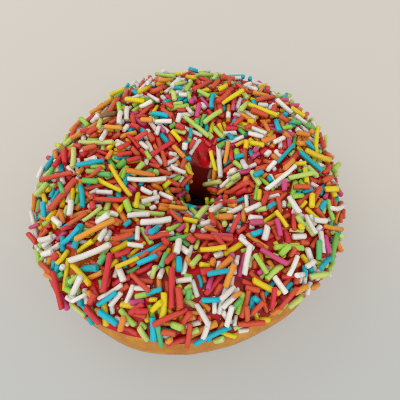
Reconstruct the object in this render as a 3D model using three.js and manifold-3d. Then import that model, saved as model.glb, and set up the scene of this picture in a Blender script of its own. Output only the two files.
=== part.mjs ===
// A fried ring doughnut whose top was dipped in red icing and pressed into sugar strands.
// Two solids: the dough ring, and the icing cap with the largest strands fused to it.
// Millimetres, +Z up. The doughnut rests on the plane z = 0, and the origin is below its middle.

import * as THREE from "three";
import { mergeVertices } from "three/addons/utils/BufferGeometryUtils.js";
import Module from "manifold-3d";

const wasm = await Module();
wasm.setup();

const { sin, cos, abs, sign, PI, min, max } = Math;
const radians = THREE.MathUtils.degToRad;

// ---------------------------------------------------------------- driving dimensions

const BELLY_RADIUS = 45; // mean radius of the dough at its widest
const BELLY_HEIGHT = 14.6; // height of that widest line above the table
const DOUGH_HEIGHT = 27.8; // top of the bare dough
const HOLE_RADIUS = 6.2; // dough's hole at its narrowest
const HOLE_CENTRE = [1.8, -2.6]; // the hole was punched off centre, so one side is fatter
const SQUARENESS = 0.92; // section exponent: 1 is an ellipse, less is squarer
const FOOT_DEPTH = 1.2; // how far the section would reach below the table, cut off flat
const OUTLINE_WAVES = [
  // [lobes round the ring, cosine part, sine part]: the ring is a little oval and lopsided
  [2, -1.4, 1.3],
  [3, -0.4, -0.4],
  [5, -0.5, 0],
];
const CREST_WAVES = [
  // the same for the height of the crest
  [1, -0.3, 0.5],
  [3, 0.35, 0.2],
];

const CLEARANCE = 0.35; // gap between the two solids
const ICING_THICKNESS = 1.6;
const ICING_LIP = 5; // degrees round the section in which its edge swells to its own thickness
const LIP_THICKNESS = 1.3;
const ICING_LINE = 9; // degrees round the section, up from the belly, where the icing ends outside
const ICING_HOLE_END = 207; // degrees round the section where it ends in the hole
const ICING_LINE_WAVES = [
  // [direction of the wave, its half width, its height], in degrees: where the dip reached less or more
  [256, 26, 18],
  [302, 22, 16],
  [215, 22, -5],
];
const ICING_RIPPLE = 2; // degrees of small waves along the line
const ICING_RIPPLES = 5; // how many of them go round

const STRAND_RADIUS = 0.8;
const STRAND_SIDES = 5;
const STRAND_COUNT = 222;
const LONGEST_STRAND = 10.5;
const SHORTEST_STRAND = 6;
const STRAND_LIFT = 0.1; // strand's axis above the icing: its lower half is sunk in
const STRAND_GAP = 0.3; // clear space between two strands
const STRAND_TILT = 10; // most degrees that one strand points up out of the icing
const STRANDS_FROM = 7; // degrees above the icing line where the strands begin
const STRANDS_TO = 150; // degrees round the section where they stop, above the hole
const BARE_WALL = [92, 36, 24]; // direction where they stop earlier, its half width, how much
const STRAND_TRIES = 220; // places tried for each strand
const LENGTH_BIAS = 0.4; // below 1, so that most strands are nearer the shortest than the longest
const GAP_STEPS = 10; // points along a strand at which its distance to another is measured

const RING_STEPS = 44; // faces round the ring
const DOUGH_STEPS = 24; // faces round the dough's section
const ICING_STEPS = 13; // faces across the icing's outside, and again across its inside
const MERGE_TOLERANCE = 0.02; // faces that differ by less than this become one

// ---------------------------------------------------------------- the shape of the ring

// Sum of waves round the ring at the angle a, in radians.
const waves = (list, a) =>
  list.reduce((sum, [lobes, c, s]) => sum + c * cos(lobes * a) + s * sin(lobes * a), 0);

const power = (value, exponent) => sign(value) * abs(value) ** exponent;

// Point on the dough's skin: a is the angle round the ring, and b the angle round the section,
// which is 0 at the belly, 90 degrees on the crest and 180 degrees in the hole.
function skinPoint(a, b) {
  const direction = new THREE.Vector3(cos(a), sin(a), 0);
  const outer = direction.clone().multiplyScalar(BELLY_RADIUS + waves(OUTLINE_WAVES, a));
  const inner = new THREE.Vector3(...HOLE_CENTRE, 0).addScaledVector(direction, HOLE_RADIUS);
  const across = power(cos(b), SQUARENESS);
  const up = abs(sin(b)) ** SQUARENESS;
  const crest = DOUGH_HEIGHT + waves(CREST_WAVES, a);
  const point = inner.clone().lerp(outer, (1 + across) / 2);
  point.z =
    sin(b) > 0
      ? BELLY_HEIGHT + (crest - BELLY_HEIGHT) * up
      : max(0, BELLY_HEIGHT - (BELLY_HEIGHT + FOOT_DEPTH) * up);
  return point;
}

// Outward normal of the skin there, from its two tangents.
function skinNormal(a, b) {
  const step = 0.002; // radians
  const along = skinPoint(a + step, b).sub(skinPoint(a - step, b));
  const around = skinPoint(a, b + step).sub(skinPoint(a, b - step));
  return along.cross(around).normalize();
}

const lifted = (a, b, height) => skinPoint(a, b).addScaledVector(skinNormal(a, b), height);

// Soft bump of that height over the angle a, with its direction and half width in degrees.
function bump(a, [direction, width, height]) {
  const away = THREE.MathUtils.euclideanModulo((a * 180) / PI - direction + 180, 360) - 180;
  return height * Math.exp(-((away / width) ** 2));
}

// Angle round the section, in degrees, of the icing's outer edge at the angle a round the ring.
function icingLine(a) {
  const ripple = ICING_RIPPLE * sin(ICING_RIPPLES * a + 1);
  return ICING_LINE_WAVES.reduce((line, wave) => line + bump(a, wave), ICING_LINE + ripple);
}

// ---------------------------------------------------------------- solids

const toSolid = (geometry) => {
  geometry.deleteAttribute("normal");
  geometry.deleteAttribute("uv");
  const merged = mergeVertices(geometry, 1e-4);
  return new wasm.Manifold(
    new wasm.Mesh({
      numProp: 3,
      vertProperties: merged.attributes.position.array,
      triVerts: new Uint32Array(merged.index.array),
    }),
  );
};

const toGeometry = (solid) => {
  const { vertProperties, triVerts } = solid.getMesh();
  const geometry = new THREE.BufferGeometry();
  geometry.setAttribute("position", new THREE.BufferAttribute(vertProperties, 3));
  geometry.setIndex(new THREE.BufferAttribute(triVerts, 1));
  geometry.computeVertexNormals();
  return geometry;
};

// A torus whose every vertex is moved to place(a, t), where t goes once round its tube.
function warpedRing(sectionSteps, place) {
  const torus = new THREE.TorusGeometry(2, 1, sectionSteps, RING_STEPS);
  const position = torus.attributes.position;
  for (let i = 0; i < position.count; i++) {
    const stepsRound = i % (RING_STEPS + 1) % RING_STEPS;
    const stepsAbout = Math.floor(i / (RING_STEPS + 1)) % sectionSteps;
    const a = (2 * PI * stepsRound) / RING_STEPS;
    const t = (2 * PI * stepsAbout) / sectionSteps;
    position.setXYZ(i, ...place(a, t));
  }
  return toSolid(torus);
}

const doughRing = () => warpedRing(DOUGH_STEPS, (a, t) => skinPoint(a, t));

// The icing's section starts at its outer edge, runs over the top to its end in the hole, and comes
// back along the dough. Its two edges are blunt, as a dip leaves them.
const icingShell = () =>
  warpedRing(2 * ICING_STEPS, (a, t) => {
    const step = Math.round((t * ICING_STEPS) / PI);
    const outside = step < ICING_STEPS;
    const along = outside ? step : 2 * ICING_STEPS - step;
    const [from, to] = [icingLine(a), ICING_HOLE_END];
    const even = ((to - from - 2 * ICING_LIP) * (along - 1)) / (ICING_STEPS - 2);
    const b = along === 0 ? from : along === ICING_STEPS ? to : from + ICING_LIP + even;
    const lip = along === 1 || along === ICING_STEPS - 1;
    const thickness = !outside || along === 0 ? 0 : lip ? LIP_THICKNESS : ICING_THICKNESS;
    return lifted(a, radians(b), CLEARANCE + thickness);
  });

// ---------------------------------------------------------------- sugar strands

// Small seeded generator of numbers from 0 to 1 (mulberry32).
function seeded(seed) {
  return () => {
    seed = (seed + 0x6d2b79f5) | 0;
    let t = Math.imul(seed ^ (seed >>> 15), 1 | seed);
    t = (t + Math.imul(t ^ (t >>> 7), 61 | t)) ^ t;
    return ((t ^ (t >>> 14)) >>> 0) / 4294967296;
  };
}
const random = seeded(20);

// A strand of that length somewhere on the icing: its middle, and the direction it points.
function looseStrand(length) {
  const a = 2 * PI * random();
  const from = icingLine(a) + STRANDS_FROM;
  const to = STRANDS_TO - bump(a, BARE_WALL);
  const b = radians(from + (to - from) * random());
  const normal = skinNormal(a, b);
  const tangent = skinPoint(a + 0.01, b).sub(skinPoint(a, b)).normalize();
  const tilt = radians(STRAND_TILT) * random();
  const direction = tangent
    .applyAxisAngle(normal, 2 * PI * random())
    .multiplyScalar(cos(tilt))
    .addScaledVector(normal, sin(tilt));
  const lift = STRAND_LIFT + (length / 4) * sin(tilt); // a tilted one stays half buried
  const middle = lifted(a, b, CLEARANCE + ICING_THICKNESS + lift);
  return { middle, direction, length };
}

// Whether two strands keep their gap, measured between points spaced along both their axes.
function keepApart(one, other) {
  const gap = 2 * STRAND_RADIUS + STRAND_GAP;
  const reach = (one.length + other.length) / 2 + gap;
  if (one.middle.distanceTo(other.middle) > reach) return true;
  const along = (strand, step) =>
    strand.middle
      .clone()
      .addScaledVector(strand.direction, (step / GAP_STEPS - 0.5) * strand.length);
  for (let i = 0; i <= GAP_STEPS; i++) {
    const from = along(one, i);
    for (let j = 0; j <= GAP_STEPS; j++) {
      if (from.distanceTo(along(other, j)) < gap) return false;
    }
  }
  return true;
}

// The longest strands come first. Each takes the place, out of many tries, that is farthest
// from the middles of those already there and touches none of them.
function scatterStrands() {
  const strands = [];
  for (let i = 0; i < STRAND_COUNT; i++) {
    const share = i / (STRAND_COUNT - 1);
    const length = LONGEST_STRAND + (SHORTEST_STRAND - LONGEST_STRAND) * share ** LENGTH_BIAS;
    let best = null;
    let mostRoom = -1;
    for (let k = 0; k < STRAND_TRIES; k++) {
      const strand = looseStrand(length);
      const room = strands.reduce(
        (least, other) => min(least, other.middle.distanceTo(strand.middle)),
        Infinity,
      );
      if (room > mostRoom && strands.every((other) => keepApart(other, strand))) {
        [best, mostRoom] = [strand, room];
      }
    }
    if (best) strands.push(best);
  }
  return strands;
}

function strandSolid({ middle, direction, length }) {
  const rod = new THREE.CylinderGeometry(STRAND_RADIUS, STRAND_RADIUS, length, STRAND_SIDES);
  const turn = new THREE.Quaternion().setFromUnitVectors(new THREE.Vector3(0, 1, 0), direction);
  rod.applyQuaternion(turn).translate(...middle);
  return toSolid(rod);
}

// Icing and strands in one body. A strand that would come too near the dough is left out.
function icedTop() {
  const doughSpace = warpedRing(DOUGH_STEPS, (a, t) => lifted(a, t, CLEARANCE));
  const strands = scatterStrands()
    .map(strandSolid)
    .filter((strand) => strand.intersect(doughSpace).isEmpty());
  const bodies = wasm.Manifold.union([icingShell(), ...strands])
    .simplify(MERGE_TOLERANCE)
    .decompose();
  return bodies.reduce((largest, body) => (body.volume() > largest.volume() ? body : largest));
}

// ---------------------------------------------------------------- the doughnut

const doughMaterial = new THREE.MeshStandardMaterial({
  color: 0xc8853c,
  roughness: 0.6,
  metalness: 0,
});
const icingMaterial = new THREE.MeshStandardMaterial({
  color: 0xc03a40,
  roughness: 0.3,
  metalness: 0,
});

const doughnut = new THREE.Group();

const dough = new THREE.Mesh(toGeometry(doughRing()), doughMaterial);
dough.name = "dough";
doughnut.add(dough);

const icing = new THREE.Mesh(toGeometry(icedTop()), icingMaterial);
icing.name = "icing";
doughnut.add(icing);

// Both are moved sideways together, so that the origin is below the middle of the whole.
const middle = new THREE.Box3().setFromObject(doughnut).getCenter(new THREE.Vector3());
for (const mesh of doughnut.children) mesh.position.set(-middle.x, -middle.y, 0);

export default doughnut;
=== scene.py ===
# %% [markdown]
# # A ring doughnut under icing and sugar strands
# A frosted doughnut is three things, one on top of the other: a ring of yeast dough fried on both
# sides, a coat of red sugar icing that its top was dipped in, and a thick layer of sugar strands
# that stuck while the icing was wet. They are made here in that order, because each takes its
# shape from the one below. The solids of the same doughnut come first: they fix where everything
# is and how large it is, and nothing made here may stick out of their box by more than a little.

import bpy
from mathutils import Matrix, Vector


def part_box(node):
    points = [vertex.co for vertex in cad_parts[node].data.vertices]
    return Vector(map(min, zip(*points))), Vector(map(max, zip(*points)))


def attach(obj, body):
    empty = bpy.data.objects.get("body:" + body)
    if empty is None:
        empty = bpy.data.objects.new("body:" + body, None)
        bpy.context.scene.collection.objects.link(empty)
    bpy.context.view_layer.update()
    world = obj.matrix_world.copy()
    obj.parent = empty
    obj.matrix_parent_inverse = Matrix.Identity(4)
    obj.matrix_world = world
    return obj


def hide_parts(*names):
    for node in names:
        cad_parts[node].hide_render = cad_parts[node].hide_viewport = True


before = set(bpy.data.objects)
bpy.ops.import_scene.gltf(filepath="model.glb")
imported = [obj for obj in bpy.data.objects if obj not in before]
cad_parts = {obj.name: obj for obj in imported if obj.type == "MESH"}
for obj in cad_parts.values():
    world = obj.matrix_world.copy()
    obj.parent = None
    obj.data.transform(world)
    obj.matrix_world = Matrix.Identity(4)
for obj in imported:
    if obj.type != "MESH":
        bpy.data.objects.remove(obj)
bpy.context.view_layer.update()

# %% What the lesson uses
from math import atan2, copysign, cos, degrees, exp, hypot, pi, radians, sin, sqrt, tan

import bmesh
import bpy
import numpy as np
from mathutils import Matrix, Vector, noise
from mathutils.bvhtree import BVHTree

MM = 0.001
SEED = 20
random = np.random.default_rng(SEED)
print("one millimetre is", MM, "of Blender's units")

# %% [markdown]
# ## The shape of the ring
# A fried ring isn't a torus. It floated in hot oil, so it is a little oval, its crest is uneven,
# its hole is off centre, and it rests on a small flat foot. It could be sculpted by hand, but then
# nothing else would know where its surface is. One formula holds the whole shape instead: the
# angle a goes round the ring, and the angle b goes round its section, from 0 at the belly over 90
# degrees on the crest to 180 degrees in the hole. The values are those of the solid dough, in
# millimetres, so the icing and the strands can ask the formula where they lie.

# %% Driving dimensions of the ring, in millimetres
BELLY_RADIUS = 45
BELLY_HEIGHT = 14.6
DOUGH_HEIGHT = 27.8
HOLE_RADIUS = 6.2
HOLE_CENTRE = Vector((1.8, -2.6, 0))
SQUARENESS = 0.92  # 1 is an oval section, and less is boxier
FOOT_DEPTH = 1.2  # how much of the round underside the flat foot cuts off
OUTLINE_WAVES = [(2, -1.4, 1.3), (3, -0.4, -0.4), (5, -0.5, 0)]  # lobes, cosine, sine part
CREST_WAVES = [(1, -0.3, 0.5), (3, 0.35, 0.2)]


def waves(parts, a):
    """Sum of waves round the ring at the angle a."""
    return sum(c * cos(lobes * a) + s * sin(lobes * a) for lobes, c, s in parts)


def skin_point(a, b):
    """The point of the dough's skin at those two angles."""
    direction = Vector((cos(a), sin(a), 0))
    outer = direction * (BELLY_RADIUS + waves(OUTLINE_WAVES, a))
    inner = HOLE_CENTRE + direction * HOLE_RADIUS
    across = copysign(abs(cos(b)) ** SQUARENESS, cos(b))
    point = inner.lerp(outer, (1 + across) / 2)
    up = abs(sin(b)) ** SQUARENESS
    if sin(b) > 0:
        point.z = BELLY_HEIGHT + (DOUGH_HEIGHT + waves(CREST_WAVES, a) - BELLY_HEIGHT) * up
    else:
        point.z = max(0, BELLY_HEIGHT - (BELLY_HEIGHT + FOOT_DEPTH) * up)
    return point


def skin_tangents(a, b, step=0.002):
    """How the point moves for each radian round the ring, and round the section."""
    along = (skin_point(a + step, b) - skin_point(a - step, b)) / (2 * step)
    around = (skin_point(a, b + step) - skin_point(a, b - step)) / (2 * step)
    return along, around


def skin_normal(a, b):
    """The direction that points straight out of the dough at those two angles."""
    along, around = skin_tangents(a, b)
    return along.cross(around).normalized()


print("the belly nearest to the camera is at", skin_point(radians(270), 0))

# %% [markdown]
# The solids were moved sideways together, so that the origin lies below the middle of the whole.
# The same move is found by setting the formula's own box against the box of the solid dough,
# taken at as many places round the ring as that solid has.

# %% From the formula's millimetres to the frame's metres
SOLID_STEPS = 44
rim = [skin_point(2 * pi * i / SOLID_STEPS, 0) for i in range(SOLID_STEPS)]
rim_middle = [(min(p[k] for p in rim) + max(p[k] for p in rim)) / 2 for k in range(2)]
dough_low, dough_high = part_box("dough")
dough_middle = (dough_low + dough_high) / 2
shift = Vector((dough_middle.x - rim_middle[0] * MM, dough_middle.y - rim_middle[1] * MM, 0))
TO_FRAME = Matrix.Translation(shift) @ Matrix.Scale(MM, 4)
print("moved sideways by", shift.x / MM, shift.y / MM, "mm")

# %% [markdown]
# ## The camera
# The doughnut is seen from close by and from well above, the way someone sees it who is about to
# eat it, so its near side looks much larger than its far side. So strong a perspective comes from
# a short distance and not from a trick of the lens. The camera goes to that distance, and is then
# slid sideways until the middle of the ring falls on the right spot of the image.

# %% Camera
ELEVATION = radians(58)
DISTANCE = 0.1308
FOCAL_PIXELS = 420
IMAGE_PIXELS = 400
RING_PIXEL = (191.0, 198.9)  # where the middle of the ring falls, from the top left
SENSOR = 36
CLIP_START = 0.005

forward = Vector((0, cos(ELEVATION), -sin(ELEVATION)))
right = Vector((1, 0, 0))
up = right.cross(forward)
ring_middle = shift + Vector((0, 0, BELLY_HEIGHT * MM))
pixel_span = DISTANCE / FOCAL_PIXELS
offset_x = (RING_PIXEL[0] - IMAGE_PIXELS / 2) * pixel_span
offset_y = (IMAGE_PIXELS / 2 - RING_PIXEL[1]) * pixel_span

camera = bpy.data.objects.new("camera", bpy.data.cameras.new("camera"))
camera.data.sensor_width = SENSOR
camera.data.lens = FOCAL_PIXELS / IMAGE_PIXELS * SENSOR
camera.data.clip_start = CLIP_START
camera.location = ring_middle - forward * DISTANCE - right * offset_x - up * offset_y
camera.rotation_euler = (pi / 2 - ELEVATION, 0, 0)
bpy.context.scene.collection.objects.link(camera)
bpy.context.scene.camera = camera
print("camera at", camera.location, "with a lens of", camera.data.lens, "mm")

# %% [markdown]
# ## Small helpers for materials
# A colour is given as an sRGB hex value, but Blender's shaders count in linear light, so one
# function turns the one into the other. Another adds a node together with its settings and its
# links, which leaves in each material only what is particular to it.

# %% Colours, nodes and a new material


def colour(hex_value, alpha=1.0):
    """The linear colour of an sRGB hex value such as 0xC8853C."""
    channels = [(hex_value >> bits & 255) / 255 for bits in (16, 8, 0)]
    linear = [c / 12.92 if c <= 0.04045 else ((c + 0.055) / 1.055) ** 2.4 for c in channels]
    return (*linear, alpha)


def add(tree, kind, inputs=None, **settings):
    """A new node of that kind, with values or links for its inputs and its own settings."""
    node = tree.nodes.new(kind)
    for name, value in settings.items():
        setattr(node, name, value)
    for key, value in (inputs or {}).items():
        if isinstance(value, bpy.types.NodeSocket):
            tree.links.new(value, node.inputs[key])
        else:
            node.inputs[key].default_value = value
    return node


def new_material(name, **surface):
    """A material with that surface: its tree, its shader and its coordinates on the object."""
    material = bpy.data.materials.new(name)
    material.use_nodes = True
    tree = material.node_tree
    tree.nodes.clear()
    inputs = {key.replace("_", " "): value for key, value in surface.items()}
    shader = add(tree, "ShaderNodeBsdfPrincipled", inputs)
    add(tree, "ShaderNodeOutputMaterial", {"Surface": shader.outputs[0]})
    place = add(tree, "ShaderNodeTexCoord").outputs["Object"]
    return material, tree, shader, place


print("the linear colour of golden brown:", colour(0xC8853C))

# %% [markdown]
# Most finishes on food are soft patterns: blotches, clouds, pores. Each is noise whose scale is
# worked out from a real size in millimetres. Its values choose between colours, or shade the
# surface like a shallow relief, which is enough for what is too fine to be modelled.

# %% Patterns, and what they do to a surface


def per(millimetres):
    """The scale of a pattern that repeats about every so many millimetres."""
    return 1 / (millimetres * MM)


def pattern(tree, place, size, detail=3.0, roughness=0.5):
    """Soft noise with lumps of that size in millimetres, as a value from 0 to 1."""
    inputs = {"Vector": place, "Scale": per(size), "Detail": detail, "Roughness": roughness}
    return add(tree, "ShaderNodeTexNoise", inputs).outputs["Fac"]


def ramp(tree, value, stops):
    """The colour that the stops, (position, hex value), give to that value."""
    node = add(tree, "ShaderNodeValToRGB", {"Fac": value})
    while len(node.color_ramp.elements) < len(stops):
        node.color_ramp.elements.new(1.0)
    for element, (position, hex_value) in zip(node.color_ramp.elements, stops):
        element.position = position
        element.color = colour(hex_value)
    return node.outputs["Color"]


def mix(tree, share, first, second):
    """The first colour where the share is 0 and the second where it is 1."""
    node = add(tree, "ShaderNodeMix", {0: share, 6: first, 7: second}, data_type="RGBA")
    return node.outputs[2]


def roughen(tree, shader, height, strength, depth):
    """Lets that pattern shade the surface like a relief so many millimetres deep."""
    inputs = {"Strength": strength, "Distance": depth * MM, "Height": height}
    tree.links.new(add(tree, "ShaderNodeBump", inputs).outputs[0], shader.inputs["Normal"])


print("a pattern of one millimetre has the scale", per(1))

# %% [markdown]
# ## Helpers for shapes
# The dough and its icing are both rings with a closed section. Blender's spin makes such a ring
# from a circle in one step, with even faces and no seam. Every vertex is then asked for its two
# angles and is moved to where a function says, which turns the plain ring into the real shape.

# %% Spin a ring, then give it its shape
SPUN_RADIUS = 2
SPUN_TUBE = 1


def warped_ring(section_steps, ring_steps, place):
    """A bmesh ring whose vertices are moved to place(a, t), where t goes round its tube."""
    bm = bmesh.new()
    upright = Matrix.Translation((SPUN_RADIUS, 0, 0)) @ Matrix.Rotation(pi / 2, 4, "X")
    bmesh.ops.create_circle(
        bm, segments=section_steps, radius=SPUN_TUBE, cap_ends=False, matrix=upright
    )
    bmesh.ops.spin(
        bm,
        geom=bm.verts[:] + bm.edges[:],
        cent=(0, 0, 0),
        axis=(0, 0, 1),
        dvec=(0, 0, 0),
        angle=2 * pi,
        steps=ring_steps,
        use_merge=True,
        use_duplicate=False,
    )
    for vert in bm.verts:
        x, y, z = vert.co
        vert.co = place(atan2(y, x), atan2(z, hypot(x, y) - SPUN_RADIUS) % (2 * pi))
    bmesh.ops.recalc_face_normals(bm, faces=bm.faces)
    return bm


print("a ring of 4 by 8 steps has", len(warped_ring(4, 8, skin_point).verts), "vertices")

# %% [markdown]
# A bmesh isn't in the scene yet. It becomes a mesh, the mesh is moved to the frame's metres and
# gets its material, and an object shows it. The object is hung under the doughnut's body, and the
# solid that it takes the place of is hidden.

# %% From a bmesh to a piece


def new_piece(name, mesh, material, node):
    """The mesh, moved to the frame's metres, as a piece that takes the place of that node."""
    mesh.transform(TO_FRAME)
    mesh.materials.append(material)
    piece = bpy.data.objects.new(name, mesh)
    bpy.context.scene.collection.objects.link(piece)
    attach(piece, "root")
    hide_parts(node)
    print(name, "has", len(mesh.vertices), "vertices and", len(mesh.polygons), "faces")


def smooth_mesh(name, bm):
    """The bmesh as a mesh with smooth shading."""
    for face in bm.faces:
        face.smooth = True
    mesh = bpy.data.meshes.new(name)
    bm.to_mesh(mesh)
    bm.free()
    return mesh


print("pieces take the place of", sorted(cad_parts))

# %% [markdown]
# ## The crust's material
# Yeast dough that floats in hot oil browns where it touches the oil and stays pale round its
# middle, where the two fried halves meet. The crust is thin, satin and a little oily. A belt could
# be painted as a texture, but the height above the table already says where the belt is, so the
# colour comes from the height, broken up by soft blotches a few millimetres wide. Small freckles
# of a redder brown lie over all of it, where tiny blisters in the skin fried a little longer.

# %% Material: fried crust
BELT_LOW = 5.0 * MM  # heights above the table
BELT_MIDDLE = 8.5 * MM
BELT_HIGH = 14.0 * MM
BELT_WAVER = 4.0 * MM
BLOTCH_SIZE = 9
FRECKLE_SIZE = 2.4
FRECKLE_RANGE = {"From Min": 0.46, "From Max": 0.68, "To Max": 0.6}
PORE_SIZE = 1.0
GOLDEN = [(0.3, 0xA8640F), (0.7, 0xCE9028)]
BELT_COLOUR = 0xCE9632
UNDERSIDE_COLOUR = 0xA66822
FRECKLE_COLOUR = 0xAA5818


def fried_crust():
    """Yeast dough crust, deep fried: golden blotches, a paler belt, freckles, pores, oil."""
    material, tree, shader, place = new_material(
        "yeast dough crust, deep fried",
        Roughness=0.5,
        IOR=1.38,
        Coat_Weight=0.08,
        Coat_Roughness=0.3,
        Subsurface_Weight=0.12,
        Subsurface_Radius=(0.9, 0.45, 0.2),
        Subsurface_Scale=1.2 * MM,
    )
    blotches = pattern(tree, place, BLOTCH_SIZE, detail=4.0, roughness=0.6)
    golden = ramp(tree, blotches, GOLDEN)
    height = add(tree, "ShaderNodeSeparateXYZ", {"Vector": place}).outputs["Z"]
    wavering = {0: blotches, 1: BELT_WAVER, 2: height}
    waver = add(tree, "ShaderNodeMath", wavering, operation="MULTIPLY_ADD").outputs[0]
    above = {"Value": waver, "From Min": BELT_MIDDLE, "From Max": BELT_HIGH}
    below = {"Value": waver, "From Min": BELT_MIDDLE, "From Max": BELT_LOW}
    smooth = "SMOOTHERSTEP"
    rise = add(tree, "ShaderNodeMapRange", above, interpolation_type=smooth).outputs[0]
    fall = add(tree, "ShaderNodeMapRange", below, interpolation_type=smooth).outputs[0]
    upper = mix(tree, rise, colour(BELT_COLOUR), golden)
    plain = mix(tree, fall, upper, colour(UNDERSIDE_COLOUR))
    blisters = pattern(tree, place, FRECKLE_SIZE, detail=4.0, roughness=0.65)
    freckles = add(tree, "ShaderNodeMapRange", {"Value": blisters, **FRECKLE_RANGE}).outputs[0]
    whole = mix(tree, freckles, plain, colour(FRECKLE_COLOUR))
    tree.links.new(whole, shader.inputs["Base Color"])
    pores = pattern(tree, place, PORE_SIZE, detail=5.0, roughness=0.7)
    roughen(tree, shader, pores, strength=0.6, depth=0.4)
    return material


crust = fried_crust()
print("made the material:", crust.name)

# %% [markdown]
# ## The dough
# The ring was cut from risen dough and fried, so it is soft and slightly lumpy, with fine wrinkles
# where the crust set before the crumb had stopped growing. A displacement modifier could give
# that too, but here every vertex already has its place worked out, so the unevenness is added to
# it in the same step.

# %% Piece: dough
DOUGH_SECTION_STEPS = 120
DOUGH_RING_STEPS = 300
LUMP_SIZE = 9.0
LUMP_HEIGHT = 0.35
WRINKLE_SIZE = 2.2
WRINKLE_HEIGHT = 0.1


def relief(point, size, height):
    """Soft unevenness: noise with lumps of that size, up to about that height."""
    return height * noise.noise(point / size)


def dough_point(a, b):
    """The formula's point, moved in or out by the lumps and wrinkles of the crust."""
    point = skin_point(a, b)
    bumps = relief(point, LUMP_SIZE, LUMP_HEIGHT) + relief(point, WRINKLE_SIZE, WRINKLE_HEIGHT)
    moved = point + skin_normal(a, b) * bumps
    moved.z = max(0, moved.z)
    return moved


dough_bm = warped_ring(DOUGH_SECTION_STEPS, DOUGH_RING_STEPS, dough_point)
new_piece("dough_ring", smooth_mesh("dough_ring", dough_bm), crust, "dough")

# %% [markdown]
# ## The icing's material
# Sugar icing is a thick syrup that sets smooth and glossy. Light goes a little way into it, which
# makes its red deep rather than painted, and its smooth skin of dried sugar reflects sharply, in
# slow ripples from the dipping. Down in the hole its colour is darkened to a red-brown, which is
# painted shade, and it is made rough and uncoated there, so that no reflection lies over that
# shade. On the near left shoulder it was wiped thin and the crust makes it amber. The distance from
# a point in the middle of each place tells where that begins. Sugar bends light by an IOR of about
# 1.5, but so bright a room would then lie over the red as a grey veil, so the icing is given less.

# %% Material: red sugar icing
CLOUD_SIZE = 3.5
CLOUD_REDS = [(0.3, 0x8C2C10), (0.42, 0x820E0A), (0.52, 0xA20A0C), (0.68, 0xCA0C22)]
RIPPLE_SIZE = 1.2
# painted shade: down in the hole the icing is coloured a dark red-brown, rough and without coat
HOLE_SHADE_PATCH = HOLE_CENTRE + Vector((0, 0, 8))
HOLE_SHADE_EDGE = (19.0 * MM, 20.5 * MM, 3.0 * MM)  # painted shade fades from, gone at, wanders by
HOLE_SHADE_COLOUR = 0x5A0C05
HOLE_SHADE_ROUGHNESS = 0.9
AMBER_PATCH = skin_point(radians(222), radians(54))
AMBER_EDGE = (5.0 * MM, 10.0 * MM, 6.0 * MM)
AMBER_COLOUR = 0xA8560E
SET_ROUGHNESS = 0.14
SET_COAT = 0.25


def patch_edge(tree, place, wander, middle, edge):
    """Rises from 0 to 1 over the ragged edge of a patch round that point."""
    away = {0: place, 1: TO_FRAME @ middle}
    distance = add(tree, "ShaderNodeVectorMath", away, operation="DISTANCE").outputs["Value"]
    shaken = {0: wander, 1: edge[2], 2: distance}
    ragged = add(tree, "ShaderNodeMath", shaken, operation="MULTIPLY_ADD").outputs[0]
    span = {"Value": ragged, "From Min": edge[0], "From Max": edge[1]}
    return add(tree, "ShaderNodeMapRange", span, interpolation_type="SMOOTHSTEP").outputs[0]


def sugar_icing():
    """Sugar icing, dipped and set: deep red, smooth, glossy; amber where thin; painted shade in the
    hole.
    """
    material, tree, shader, place = new_material(
        "sugar icing, dipped and set",
        IOR=1.17,
        Coat_Roughness=0.06,
        Subsurface_Weight=0.15,
        Subsurface_Radius=(1.0, 0.2, 0.15),
        Subsurface_Scale=1.2 * MM,
    )
    clouds = pattern(tree, place, CLOUD_SIZE)
    unwiped = patch_edge(tree, place, clouds, AMBER_PATCH, AMBER_EDGE)
    reds = mix(tree, unwiped, colour(AMBER_COLOUR), ramp(tree, clouds, CLOUD_REDS))
    # painted shade: round a point in the hole the colour turns dark red-brown, rough and uncoated
    unshaded = patch_edge(tree, place, clouds, HOLE_SHADE_PATCH, HOLE_SHADE_EDGE)
    whole = mix(tree, unshaded, colour(HOLE_SHADE_COLOUR), reds)
    tree.links.new(whole, shader.inputs["Base Color"])
    dullness = {"Value": unshaded, "To Min": HOLE_SHADE_ROUGHNESS, "To Max": SET_ROUGHNESS}
    dull = add(tree, "ShaderNodeMapRange", dullness).outputs[0]
    tree.links.new(dull, shader.inputs["Roughness"])
    coat = add(tree, "ShaderNodeMapRange", {"Value": unshaded, "To Max": SET_COAT}).outputs[0]
    tree.links.new(coat, shader.inputs["Coat Weight"])
    ripples = pattern(tree, place, RIPPLE_SIZE, detail=2.0)
    roughen(tree, shader, ripples, strength=0.5, depth=0.4)
    return material


icing_material = sugar_icing()
print("made the material:", icing_material.name)

# %% [markdown]
# ## The icing
# The ring was dipped upside down, so the icing covers the top, ends in a soft wavy line on the
# outside, and runs down into the hole. It could be a thickened copy of the dough's top, but its
# edge would then be a hard step. Here it is a ring of its own whose section is a long lens: the
# outer half of the tube becomes the top of the icing, and the inner half lies just under the skin
# of the dough. Its edge is rounded and a little thicker, as surface tension leaves it, and on the
# far side of the hole it has slid together into a wrinkled fold.

# %% Where the icing ends
ICING_LINE = 9  # degrees round the section, outside
ICING_HOLE_END = 207  # and in the hole
ICING_LINE_WAVES = [(256, 26, 18), (302, 22, 16), (215, 22, -5)]  # degrees: at, width, height
ICING_RIPPLE = 2
ICING_RIPPLES = 5
DRIP = 1.6
DRIPS = 7


def bell(angle, middle, width):
    """A soft bump of height 1 over degrees, which knows that 360 degrees is 0 again."""
    away = (angle - middle + 180) % 360 - 180
    return exp(-((away / width) ** 2))


def icing_line(a):
    """Degrees round the section at which the icing ends outside, at the angle a."""
    line = ICING_LINE + ICING_RIPPLE * sin(ICING_RIPPLES * a + 1)
    line += sum(height * bell(degrees(a), at, width) for at, width, height in ICING_LINE_WAVES)
    return line + DRIP * noise.noise(Vector((cos(a), sin(a), 0)) * DRIPS)


print("the icing ends at", [round(icing_line(radians(d))) for d in range(0, 360, 45)], "degrees")

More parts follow.
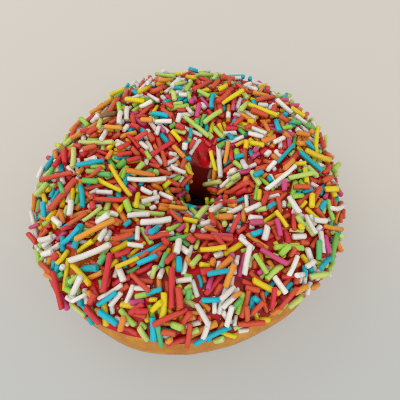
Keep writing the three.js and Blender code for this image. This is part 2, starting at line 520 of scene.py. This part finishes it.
# %% Piece: icing
ICING_SECTION_STEPS = 144
ICING_RING_STEPS = 320
ICING_THICKNESS = 1.2
ICING_SUNK = 0.15
SECTION_RADIUS = 17.0  # millimetres of surface to each radian round the section
EDGE_ROUNDING = 1.5
BEAD_HEIGHT = 0.5
BEAD_WIDTH = 1.3
ICING_LUMPS = (6.0, 0.3)  # size, height
FOLD_AT = (75, 136)  # degrees round the ring, and round its section
FOLD_SIZE = (14, 5)
FOLD_HEIGHT = 2.2
FOLD_WRINKLES = [(0.35, 4, 2.5), (0.2, 7, -5)]  # share of the height, waves each way


def fold(a, b):
    """The lump that the icing makes where it slid together above the hole."""
    u = (degrees(a) - FOLD_AT[0]) / FOLD_SIZE[0]
    v = (degrees(b) - FOLD_AT[1]) / FOLD_SIZE[1]
    wrinkles = sum(share * sin(p * u + q * v) for share, p, q in FOLD_WRINKLES)
    return FOLD_HEIGHT * exp(-(u * u) - v * v) * (1 + wrinkles)


def icing_point(a, t):
    """The icing's point on the outer half of the tube, and its hidden underside on the other."""
    line = icing_line(a)
    b = radians(line + (ICING_HOLE_END - line) * (1 - cos(t)) / 2)
    point, normal = skin_point(a, b), skin_normal(a, b)
    if t >= pi:
        return point - normal * ICING_SUNK
    from_edge = (b - radians(line)) * SECTION_RADIUS
    from_end = (radians(ICING_HOLE_END) - b) * SECTION_RADIUS
    near = min(from_edge, from_end, EDGE_ROUNDING) / EDGE_ROUNDING
    rounding = sqrt(max(0, 1 - (1 - near) ** 2))
    bead = BEAD_HEIGHT * exp(-(((from_edge - EDGE_ROUNDING) / BEAD_WIDTH) ** 2))
    thickness = ICING_THICKNESS + bead + fold(a, b) + relief(point, *ICING_LUMPS)
    return point + normal * (thickness * rounding - ICING_SUNK * (1 - rounding))


icing_bm = warped_ring(ICING_SECTION_STEPS, ICING_RING_STEPS, icing_point)
icing_ground = BVHTree.FromBMesh(icing_bm)
new_piece("icing_coat", smooth_mesh("icing_coat", icing_bm), icing_material, "icing")

# %% [markdown]
# ## Where strands may lie
# Strands stick to wet icing only. They reach from its edge over the crest and down the wall of the
# hole, but the far wall stays bare, because the icing was still sliding there. A place is drawn so
# that every square millimetre of icing is as likely as the next: angles alone would crowd the
# strands round the hole, where the same angles span much less surface.

# %% Places on the icing
STRANDS_START = 3  # degrees past the end of the icing
STRANDS_END = 174  # degrees round the section
BARE_WALL = (80, 28, 51)  # degrees: at, width, how much earlier the strands end
BARE_LIP = (256, 20, 4)  # the same for where they begin
LARGEST_PATCH = 48 * 20  # square millimetres that a radian by a radian spans at most


def strands_range(a):
    """Degrees round the section at which the strands begin and end, at the angle a."""
    lip_at, lip_width, later = BARE_LIP
    wall_at, wall_width, earlier = BARE_WALL
    start = icing_line(a) + STRANDS_START + later * bell(degrees(a), lip_at, lip_width)
    return start, STRANDS_END - earlier * bell(degrees(a), wall_at, wall_width)


def random_place():
    """Two angles of a spot on the icing."""
    while True:
        a = random.uniform(0, 2 * pi)
        b = radians(random.uniform(0, STRANDS_END))
        start, end = strands_range(a)
        if not start < degrees(b) < end:
            continue
        along, around = skin_tangents(a, b)
        if random.uniform(0, LARGEST_PATCH) < along.cross(around).length:
            return a, b


print("a place on the icing:", [round(degrees(angle)) for angle in random_place()], "degrees")

# %% [markdown]
# ## How a strand comes to rest
# Loose strands could be dropped in a physics simulation, but a thousand thin stiff cylinders take
# it minutes and never quite settle. Each strand is laid by a rule instead that gives the same
# look: seen from the side, it comes to rest on the two highest things on either side of its
# middle. What holds it up is the icing and every strand laid before it. It may press a little into
# each, because wet icing gives way and strands stick together. None reaches past the icing's edge,
# and near that edge the heap is low, because what lay higher there has slid off.

# %% What holds a strand up
RAY_START = 5.0


def icing_under(point, normal):
    """Height of the icing along the normal, or None where there is none below the point."""
    depth = icing_ground.ray_cast(point + normal * RAY_START, -normal, 2 * RAY_START)[3]
    return None if depth is None else RAY_START - depth


def resting_line(places, heights):
    """Height over the middle, and slope, of a stick held up on both sides of its middle."""
    before, after = places <= 0, places > 0
    if not before.any() or not after.any():
        return None
    s0, h0 = places[before][:, None], heights[before][:, None]
    s1, h1 = places[after], heights[after]
    middle = (h0 * s1 - h1 * s0) / (s1 - s0)
    i, j = np.unravel_index(np.argmax(middle), middle.shape)
    return middle[i, j], (h1[j] - h0[i, 0]) / (s1[j] - s0[i, 0])


print("the icing on the crest is", icing_under(skin_point(0, pi / 2), skin_normal(0, pi / 2)), "mm")
seesaw = resting_line(np.array([-2.0, 3.0]), np.array([1.0, 2.0]))
print("a stick on two points rests at (height, slope)", seesaw)

# %% [markdown]
# The axes of the strands laid so far are kept as rows of points, which numpy compares with a new
# strand all at once. Only points near it and below it count. One right under its axis holds it up
# by both radii, and one to the side by less, because both strands are round.

# %% The rule for one strand
STRAND_RADIUS = 0.74
LONGEST = 11.5
REACH_UP = 5.0
GROUND_SAMPLES = 5
AXIS_SAMPLES = 9
MOST_STRANDS = 4000
SINK = 0.45  # how far a strand presses into the icing
PRESS = 0.12  # and into another strand
NEAR_MARGIN = 2  # added to both half lengths, because strands lie at different heights
END_MARGIN = 0.2  # how far past its own ends a strand is still held up
STEEPEST = tan(radians(32))
RIM_HEIGHT = 0.5  # how high a strand may rest at the very rim
RIM_SLOPE = 0.5  # and how much higher for each millimetre away from it

axis_points = np.zeros((MOST_STRANDS, AXIS_SAMPLES, 3))
middles = np.zeros((MOST_STRANDS, 3))
laid = []


def ceiling(a, b, highest):
    """How high a strand may rest there, which is less near the rim of the icing."""
    from_rim = (b - radians(icing_line(a))) * SECTION_RADIUS
    return min(highest, RIM_HEIGHT + RIM_SLOPE * from_rim)


def rest(a, b, turn, length, radius, highest):
    """How a strand rests over that place: height, middle, direction, normal, or None."""
    normal = skin_normal(a, b)
    point = skin_point(a, b) + normal * ICING_THICKNESS
    tangent = Matrix.Rotation(turn, 3, normal) @ skin_tangents(a, b)[0].normalized()
    side = normal.cross(tangent)
    places, heights = [], []
    for s in np.linspace(-length / 2, length / 2, GROUND_SAMPLES):
        height = icing_under(point + tangent * s, normal)
        if height is None:
            return None
        places.append(s)
        heights.append(height + radius - SINK)
    farthest = length / 2 + LONGEST / 2 + NEAR_MARGIN
    near = np.linalg.norm(middles[: len(laid)] - point, axis=1) < farthest
    offsets = axis_points[: len(laid)][near].reshape(-1, 3) - np.array(point)
    s, w, h = offsets @ np.array(tangent), offsets @ np.array(side), offsets @ np.array(normal)
    reach = radius + STRAND_RADIUS - PRESS
    under = (abs(s) < length / 2 + END_MARGIN) & (abs(w) < reach) & (h < REACH_UP)
    places = np.concatenate([places, s[under]])
    heights = np.concatenate([heights, h[under] + np.sqrt(reach**2 - w[under] ** 2)])
    line = resting_line(places, heights)
    if line is None or line[0] > ceiling(a, b, highest) or abs(line[1]) > STEEPEST:
        return None
    return line[0], point + normal * line[0], (tangent + normal * line[1]).normalized(), normal


print("one strand would rest at", rest(1.0, 1.5, 0.3, 6.0, STRAND_RADIUS, REACH_UP)[0], "mm")

# %% [markdown]
# ## Spots that keep count
# When strands are poured over wet icing, they trickle between and over each other until almost
# nothing shows. Thousands of small spots spread over the icing tell how far that has come: each is
# bare until a strand hides it. Where the icing is thin and amber, strands find little to stick to,
# so none starts there.

# %% Spots on the icing
SPOTS = 14000
SPARSE = 4.0  # how far from the middle of the amber place no strand starts

spots = [random_place() for i in range(SPOTS)]
spot_points = np.array([skin_point(a, b) + skin_normal(a, b) * ICING_THICKNESS for a, b in spots])
spot_normals = np.array([skin_normal(a, b) for a, b in spots])
bare_spots = np.ones(SPOTS, bool)


def sticks(point):
    """Whether the icing at that point is thick enough to hold a strand."""
    return (Vector(point) - AMBER_PATCH).length > SPARSE


print(sum(sticks(point) for point in spot_points), "of", SPOTS, "spots can hold a strand")

# %% [markdown]
# Strands are broken pieces of a long thread, so most are short and a few are very long, which a
# log-normal draw gives. They differ a little in thickness too, because sugar paste swells unevenly
# when it leaves the die.

# %% The size of a strand
TYPICAL_LENGTH = 4.6
LENGTH_SPREAD = 0.42
SHORTEST = 1.8
RADIUS_SPREAD = 0.08
RADIUS_LIMITS = (0.55, 0.92)


def random_size():
    """Length and radius of a strand."""
    length = TYPICAL_LENGTH * random.lognormal(0, LENGTH_SPREAD)
    radius = np.clip(random.normal(STRAND_RADIUS, RADIUS_SPREAD), *RADIUS_LIMITS)
    return np.clip(length, SHORTEST, LONGEST), radius


print("the first strand's length and radius:", random_size(), "mm")

# %% [markdown]
# A strand that is put down joins the pile and holds up those that come after it. It also hides the
# spots whose normals pass through it, so they no longer ask for a strand.

# %% Put a strand down
resting_heights = []


def bare_near(point, reach):
    """The spots within that reach that are still bare."""
    bare = np.flatnonzero(bare_spots)
    return bare[(abs(spot_points[bare] - np.array(point)) < reach).all(axis=1)]


def hidden_by(found, length, radius, near):
    """Which of those spots the resting strand hides from above."""
    _, middle, direction, _ = found
    offsets, normals = spot_points[near] - np.array(middle), spot_normals[near]
    along = np.clip(offsets @ np.array(direction), -length / 2, length / 2)
    away = along[:, None] * np.array(direction) - offsets
    above = (away * normals).sum(axis=1)
    aside = np.linalg.norm(away - above[:, None] * normals, axis=1)
    return near[(aside < radius) & (above > 0) & (above < REACH_UP)]


def put_down(found, length, radius):
    """Adds the strand to the pile, and marks the spots that it hides."""
    height, middle, direction, normal = found
    steps = np.linspace(-length / 2, length / 2, AXIS_SAMPLES)
    axis_points[len(laid)] = np.array(middle) + steps[:, None] * np.array(direction)
    middles[len(laid)] = middle
    laid.append((middle, direction, normal, length, radius))
    resting_heights.append(height)
    near = bare_near(middle, length / 2 + REACH_UP)
    bare_spots[hidden_by(found, length, radius, near)] = False


print(round(100 * bare_spots.mean()), "% of the icing shows before the first strand")

# %% [markdown]
# ## Pouring the strands
# The first strands to land lie flat on the icing, the next ones lean on them, and the last lie
# across the heap. So the strands come in layers, and each layer allows them to rest a little
# higher. In each, every spot that is still bare gets a strand in whichever direction hides most
# of the icing for the least height. Where nothing fits in the last one, a broken bit is tried.

# %% Pour the layers
LAYERS = (0.6, 1.2, 2.0, 2.6)
TURNS = 6
HEIGHT_COST = 3.0  # how many hidden spots make up for a millimetre of height
BIT_LENGTHS = (2.0, 3.2)


def best_rest(a, b, length, radius, highest):
    """The rest over that place that hides most of the icing for its height, or None."""
    start = random.uniform(0, pi)
    turns = [start + pi * k / TURNS for k in range(TURNS)]
    found = [rest(a, b, turn, length, radius, highest) for turn in turns]
    found = [one for one in found if one]
    if not found:
        return None
    near = bare_near(found[0][1], length / 2 + REACH_UP)
    gains = [len(hidden_by(one, length, radius, near)) - HEIGHT_COST * one[0] for one in found]
    best = int(np.argmax(gains))
    return found[best] if gains[best] > 0 else None


for highest in LAYERS:
    for i in random.permutation(SPOTS):
        if not bare_spots[i] or not sticks(spot_points[i]):
            continue
        length, radius = random_size()
        found = best_rest(*spots[i], length, radius, highest)
        if not found and highest == LAYERS[-1]:
            length = random.uniform(*BIT_LENGTHS)
            found = best_rest(*spots[i], length, radius, highest)
        if found:
            put_down(found, length, radius)
    print("up to", highest, "mm:", len(laid), "strands,", round(100 * bare_spots.mean()), "% bare")

# %% [markdown]
# The last strands fall anywhere and lie across the others. They hide nothing new, but they are
# the ones that are seen whole, and their shadows show that the layer is thick.

# %% Strands on top
THROWN_LAST = 1300

for i in range(THROWN_LAST):
    length, radius = random_size()
    a, b = random_place()
    found = rest(a, b, random.uniform(0, pi), length, radius, LAYERS[-1])
    if found and sticks(skin_point(a, b)):
        put_down(found, length, radius)
print(len(laid), "strands,", round(100 * bare_spots.mean()), "% of the icing still shows")
print("heights of their middles:", np.percentile(resting_heights, [5, 50, 95]), "mm")

# %% [markdown]
# ## One strand
# A strand is a thread of stiff sugar paste pushed through a round die and broken while it dries:
# a plain cylinder with flat ends whose edges are barely rounded. A cone with equal radii is that
# cylinder, two cuts let it bend, and one small bevel catches the light on its ends. The ends stay
# flat shaded, so that they look broken off and not melted.

# %% Strand template
SIDES = 8
CUTS = (-1 / 3, 1 / 3)
END_BEVEL = 0.3
ON_END = 1e-4  # a vertex this near to an end lies on it


def strand_template():
    """One strand of unit radius and unit half length: its points, faces and which are smooth."""
    bm = bmesh.new()
    bmesh.ops.create_cone(
        bm, cap_ends=True, cap_tris=False, segments=SIDES, radius1=1, radius2=1, depth=2
    )
    for cut in CUTS:
        everything = bm.verts[:] + bm.edges[:] + bm.faces[:]
        bmesh.ops.bisect_plane(bm, geom=everything, plane_co=(0, 0, cut), plane_no=(0, 0, 1))
    rims = [e for e in bm.edges if all(abs(abs(v.co.z) - 1) < ON_END for v in e.verts)]
    bmesh.ops.bevel(
        bm, geom=rims, offset=END_BEVEL, affect="EDGES", segments=1, profile=0.5, material=-1
    )
    bm.verts.index_update()
    points = np.array([v.co for v in bm.verts])
    faces = [[v.index for v in f.verts] for f in bm.faces]
    rounded = [len(f.verts) < SIDES for f in bm.faces]
    bm.free()
    return points, faces, rounded


template_points, template_faces, template_smooth = strand_template()
print("a strand has", len(template_points), "points and", len(template_faces), "faces")

# %% [markdown]
# No two strands are alike: their cuts slant, many are slightly bent, and none is quite round. The
# template is stretched to its length in the middle only, so that the bevels keep their size.

# %% One strand in its place
SLANT = 0.12
BEND = 0.022
OVAL = 0.04
END_BEGINS = 0.5  # of the half length, which is past the cut and short of the bevel


def strand_points(middle, direction, normal, length, radius):
    """The template stretched to that length, bent a little and laid in its place."""
    x, y, z = template_points.T
    ends = abs(z) > END_BEGINS
    share = np.where(ends, np.sign(z) * (1 - (1 - abs(z)) * 2 * radius / length), z)
    slants = random.normal(0, SLANT, (2, 2))
    tilt = np.where(z > 0, slants[0, 0] * x + slants[0, 1] * y, slants[1, 0] * x + slants[1, 1] * y)
    along = share * length / 2 + np.where(ends, tilt * radius, 0)
    bow = 1 - share**2
    oval = random.normal(1, OVAL)
    across = x * radius * oval + random.normal(0, BEND) * length * bow
    upward = y * radius / oval - abs(random.normal(0, BEND / 2)) * length * bow
    lift = (normal - direction * normal.dot(direction)).normalized()
    axes = np.array([direction, lift.cross(direction), lift])
    return np.array(middle) + np.stack([along, across, upward], axis=1) @ axes


print("first point of the first strand:", strand_points(*laid[0])[0].round(1), "mm")

# %% [markdown]
# ## The strands' material
# Each batch of strands is coloured through, and pressed sugar is matt with a faint sheen and a
# fine grain. Strands of one batch still differ a little, because some were in the light for
# longer, so each strand carries a tone of its own that blends two shades of its colour.

# %% Material: sugar strands
GRAIN_SIZE = 0.35  # coarser than the grain of pressed sugar, which would be too fine to show


def sugar_strand(name, main, variant):
    """Pressed sugar, extruded and cut: coloured through, matt with a faint waxy sheen."""
    material, tree, shader, place = new_material(
        f"sugar strand, extruded and cut, {name}",
        Roughness=0.36,
        IOR=1.36,
        Coat_Weight=0.12,
        Coat_Roughness=0.18,
        Subsurface_Weight=0.12,
        Subsurface_Radius=(0.6, 0.5, 0.4),
        Subsurface_Scale=0.8 * MM,
    )
    tone = add(tree, "ShaderNodeAttribute", attribute_name="tone").outputs["Fac"]
    shade = mix(tree, tone, colour(main), colour(variant))
    tree.links.new(shade, shader.inputs["Base Color"])
    roughen(tree, shader, pattern(tree, place, GRAIN_SIZE), strength=0.25, depth=0.06)
    return material


COLOURS = {  # each with its share of the strands, its main shade and the shade it varies to
    "red": (0.25, 0xC4282F, 0xC45226),
    "white": (0.215, 0xDCD7CC, 0xCEC7BC),
    "lime": (0.125, 0x90C038, 0xBCC46E),
    "yellow": (0.09, 0xD4C404, 0xD0AC0C),
    "orange": (0.11, 0xD8902C, 0xCE7424),
    "blue": (0.12, 0x00AEC4, 0x0C989C),
    "pink": (0.045, 0xC04078, 0xBA4664),
    "green": (0.041, 0x4CAE74, 0x68A83C),
    "brown": (0.004, 0x85653A, 0x5A4028),
}
print(len(COLOURS), "colours, shares adding up to", sum(c[0] for c in COLOURS.values()))

# %% [markdown]
# The colours are mixed by shaking the jar, which never mixes them evenly: strands of one colour
# tend to lie two or three together. Noise of its own for each colour gives such small clumps, by
# making the colour likelier in some places than in others.

# %% Colours in clumps
CLUMP_SIZE = 4.5
CLUMPING = 2.2
names = list(COLOURS)


def clumped_colour(middle):
    """The number of a colour for the strand there."""
    places = [middle / CLUMP_SIZE + Vector((0, 0, 50 * i)) for i in range(len(names))]
    weights = np.array([exp(CLUMPING * noise.noise(place)) for place in places])
    weights *= [COLOURS[name][0] for name in names]
    return random.choice(len(names), p=weights / weights.sum())


picks = [clumped_colour(strand[0]) for strand in laid]
print({name: picks.count(i) for i, name in enumerate(names)})

# %% [markdown]
# All strands of one colour are one mesh. Thousands of separate objects would be slow and hard to
# handle, and one mesh for every colour still lets each colour be changed by itself.

# %% Pieces: strands of each colour
for index, name in enumerate(names):
    chosen = [strand for strand, pick in zip(laid, picks) if pick == index]
    points = np.concatenate([strand_points(*strand) for strand in chosen])
    starts = [k * len(template_points) for k in range(len(chosen))]
    faces = [[start + v for v in face] for start in starts for face in template_faces]
    tones = np.repeat(random.uniform(0, 1, len(chosen)), len(template_points))
    mesh = bpy.data.meshes.new("strands_" + name)
    mesh.from_pydata(points.tolist(), [], faces)
    mesh.attributes.new("tone", "FLOAT", "POINT").data.foreach_set("value", tones)
    mesh.polygons.foreach_set("use_smooth", template_smooth * len(chosen))
    material = sugar_strand(name, *COLOURS[name][1:])
    new_piece("strands_" + name, mesh, material, "icing")

# %% [markdown]
# Pouring breaks crumbs off the strands. They trickle down between them and stay in the gaps, so
# each lies on a spot of the icing that no strand hides. A crumb is a small ball pulled out of
# shape; it stays flat shaded, so that it looks broken.

# %% Piece: crumbs
CRUMBS = 450
CRUMB_RADII = (0.14, 0.36)
CRUMB_SHADES = (0xE2B486, 0xC8582E)

crumbs = bmesh.new()
for i in random.choice(np.flatnonzero(bare_spots), CRUMBS, replace=False):
    point, normal = Vector(spot_points[i]), Vector(spot_normals[i])
    middle = Matrix.Translation(point + normal * (icing_under(point, normal) or 0))
    turned = Matrix.Rotation(random.uniform(0, 2 * pi), 4, Vector(random.normal(size=3)))
    pulled = Matrix.Diagonal((*random.uniform(*CRUMB_RADII, 3), 1))
    bmesh.ops.create_icosphere(crumbs, subdivisions=1, radius=1, matrix=middle @ turned @ pulled)
crumb_mesh = bpy.data.meshes.new("strand_crumbs")
crumbs.to_mesh(crumb_mesh)
tones = np.repeat(random.uniform(0, 1, CRUMBS), len(crumbs.verts) // CRUMBS)
crumb_mesh.attributes.new("tone", "FLOAT", "POINT").data.foreach_set("value", tones)
crumbs.free()
crumb_material = sugar_strand("crumbs", *CRUMB_SHADES)
new_piece("strand_crumbs", crumb_mesh, crumb_material, "icing")

# %% [markdown]
# ## The table and the light
# The doughnut lies on pale thin paper in a bright room. The paper has a faint painted glow, which
# keeps the doughnut's shadow faint, and painted shade makes it darker towards the viewer. The
# light of the room comes from all around and most of it from behind the viewer, which keeps the
# shadows faint, and a large window behind the left shoulder of the ring gives the strands their
# soft upper highlights. Only the doughnut is handed on; paper and lights stay on the stage.

# %% Material: thin paper
# painted shade: the paper is darker near the viewer than far back
PAPER_SHADED_NEAR, PAPER_LIT_FAR = 0x7B807F, 0x938C81
PAPER_TURNS = (-0.065, 0.035)  # where the painted shade begins to lift, and where it is gone
# painted light: the paper glows a little by itself, which lifts the doughnut's shadow
PAPER_GLOW = 0.3
PAPER_LIGHT = 0xFFFAF2
GLOW_FADE_START, GLOW_FADE_END = 0.025, 0.045  # painted glow fades in between these distances, none under the doughnut


def thin_paper():
    """Paper, uncoated: matt, with a faint painted glow, and painted shade towards the viewer."""
    material, tree, shader, place = new_material(
        "thin paper, uncoated",
        Roughness=0.85,
        Emission_Color=colour(PAPER_LIGHT),
    )
    # painted light: the glow fades in away from the middle, so there is none under the doughnut
    away = add(tree, "ShaderNodeVectorMath", {0: place}, operation="LENGTH").outputs["Value"]
    edge = {"Value": away, "From Min": GLOW_FADE_START, "From Max": GLOW_FADE_END, "To Max": PAPER_GLOW}
    glow = add(tree, "ShaderNodeMapRange", edge, interpolation_type="SMOOTHSTEP").outputs[0]
    tree.links.new(glow, shader.inputs["Emission Strength"])
    # painted shade: darker towards the viewer, lighter far back
    back = add(tree, "ShaderNodeSeparateXYZ", {"Vector": place}).outputs["Y"]
    span = {"Value": back, "From Min": PAPER_TURNS[0], "From Max": PAPER_TURNS[1]}
    share = add(tree, "ShaderNodeMapRange", span, interpolation_type="SMOOTHSTEP").outputs[0]
    tones = mix(tree, share, colour(PAPER_SHADED_NEAR), colour(PAPER_LIT_FAR))
    tree.links.new(tones, shader.inputs["Base Color"])
    return material


paper_material = thin_paper()
print("made the material:", paper_material.name)

# %% Paper
PAPER_HALF = 1.5
PAPER_DROP = 0.1 * MM  # below the dough's flat foot, so that the two never share one plane

sheet = bmesh.new()
bmesh.ops.create_grid(sheet, x_segments=1, y_segments=1, size=PAPER_HALF)
paper_mesh = smooth_mesh("paper", sheet)
paper_mesh.materials.append(paper_material)
paper = bpy.data.objects.new("paper", paper_mesh)
paper.location.z = -PAPER_DROP
bpy.context.scene.collection.objects.link(paper)
print("paper is", 2 * PAPER_HALF, "m wide")

# %% The light of the room
ROOM_COLOUR = 0xF6F7FA
ROOM_FRONT, ROOM_BACK = 1.8, 0.45

world = bpy.data.worlds.new("bright room")
world.use_nodes = True
tree = world.node_tree
room = tree.nodes["Background"]
room.inputs["Color"].default_value = colour(ROOM_COLOUR)
direction = add(tree, "ShaderNodeTexCoord").outputs["Generated"]
depth = add(tree, "ShaderNodeSeparateXYZ", {"Vector": direction}).outputs["Y"]
walls = {"Value": depth, "From Min": -1, "To Min": ROOM_FRONT, "To Max": ROOM_BACK}
tree.links.new(add(tree, "ShaderNodeMapRange", walls).outputs[0], room.inputs["Strength"])
bpy.context.scene.world = world
print("the room is", ROOM_FRONT / ROOM_BACK, "times as bright in front as behind")

# %% The window
WINDOW_AT = (-0.4, 0.32, 0.5)
WINDOW_SIZE = 0.5
WINDOW_POWER = 1.3
WINDOW_COLOUR = 0xFFFAF4

light = bpy.data.lights.new("window", "AREA")
light.size = WINDOW_SIZE
light.energy = WINDOW_POWER
light.color = colour(WINDOW_COLOUR)[:3]
window = bpy.data.objects.new("window", light)
window.location = WINDOW_AT
window.rotation_mode = "QUATERNION"
window.rotation_quaternion = (Vector(WINDOW_AT) - ring_middle).to_track_quat("Z", "Y")
bpy.context.scene.collection.objects.link(window)
print("the window is", round(window.location.length, 2), "m away")

# %% [markdown]
# Blender shows colours through a soft film look by default, which would dull the sugar's. The
# standard view shows them as they are, and a narrower pixel filter keeps small strands crisp.

# %% How the colours are shown
PIXEL_FILTER = 1.0

bpy.context.scene.view_settings.view_transform = "Standard"
bpy.context.scene.cycles.filter_width = PIXEL_FILTER
print("view:", bpy.context.scene.view_settings.view_transform)
